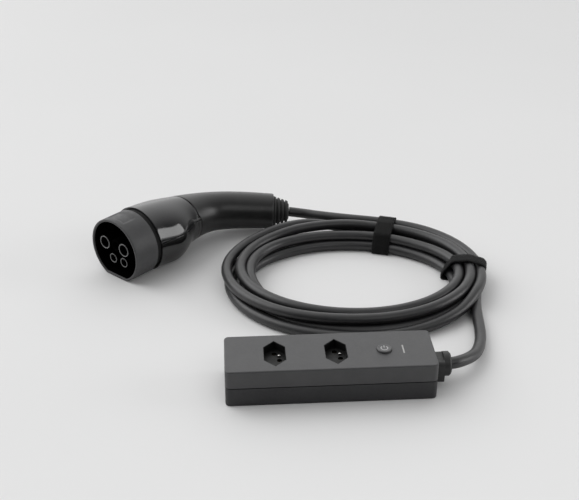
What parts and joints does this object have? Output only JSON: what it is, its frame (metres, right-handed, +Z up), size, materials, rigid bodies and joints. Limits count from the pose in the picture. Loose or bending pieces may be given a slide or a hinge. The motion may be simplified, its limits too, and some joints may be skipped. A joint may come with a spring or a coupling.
{
  "type": "vehicle-to-load adapter",
  "caption": "Vehicle-to-load adapter: coupler handle on a coiled, strapped cable to a slim socket box with recessed outlets, a push button and a light bar",
  "frame": {"origin": "middle of the socket box's underside, on the surface the object lies on", "axes": "+X along the box from its closed end to its gland, +Y from the box's front side back to the coil, +Z up"},
  "size_m": [0.3779, 0.325, 0.062],
  "materials": {
    "box_base": "fine texture",
    "box_lid": "fine texture",
    "box_seal": "matte",
    "outlet_insert": "satin",
    "contact_bar": "satin",
    "board": "satin",
    "switch": "satin",
    "plunger": "satin",
    "button_cap": "satin",
    "light_bar": "clear",
    "status_led": "clear",
    "relay": "satin",
    "screws": "satin",
    "gland_body": "satin",
    "gland_nut": "satin",
    "ring_seal": "matte",
    "cord": "satin",
    "strap": "woven",
    "nose_shell": "fine texture",
    "contact_carrier": "satin",
    "contact_sleeve": "satin",
    "nose_gasket": "matte",
    "handle_housing": "satin",
    "head_cover": "soft gloss",
    "lower_cover": "gloss",
    "grip_sleeve": "satin",
    "strain_relief": "matte",
    "cord_clamp": "satin"
  },
  "bodies": {
    "adapter": {"box_base": "box_base", "box_lid": "box_lid", "box_seal": "box_seal", "outlet_insert_1": "outlet_insert", "outlet_insert_2": "outlet_insert", "line_bar": "contact_bar", "neutral_bar": "contact_bar", "earth_bar": "contact_bar", "control_board": "board", "push_switch": "switch", "light_bar": "light_bar", "status_led": "status_led", "relay": "relay", "case_screws": "screws", "gland_body": "gland_body", "gland_nut": "gland_nut", "gland_ring_seal": "ring_seal", "lead_to_box": "cord", "cable_coil": "cord", "lead_to_handle": "cord", "strap_back": "strap", "strap_side": "strap", "nose_shell": "nose_shell", "contact_carrier": "contact_carrier", "line_sleeve": "contact_sleeve", "neutral_sleeve": "contact_sleeve", "earth_sleeve": "contact_sleeve", "pilot_sleeve": "contact_sleeve", "proximity_sleeve": "contact_sleeve", "nose_gasket": "nose_gasket", "handle_housing": "handle_housing", "head_cover": "head_cover", "lower_cover": "lower_cover", "grip_sleeve": "grip_sleeve", "strain_relief": "strain_relief", "handle_cord_clamp": "cord_clamp", "coding_board": "board"},
    "button": {"button_cap": "button_cap", "switch_plunger": "plunger"}
  },
  "joints": [
    {"name": "button_press", "type": "slide", "parent": "adapter", "child": "button", "axis": [0, 0, -1], "range_m": [0, 0.0012], "stiffness_N_per_m": 1500, "springref_m": -0.0006}
  ]
}
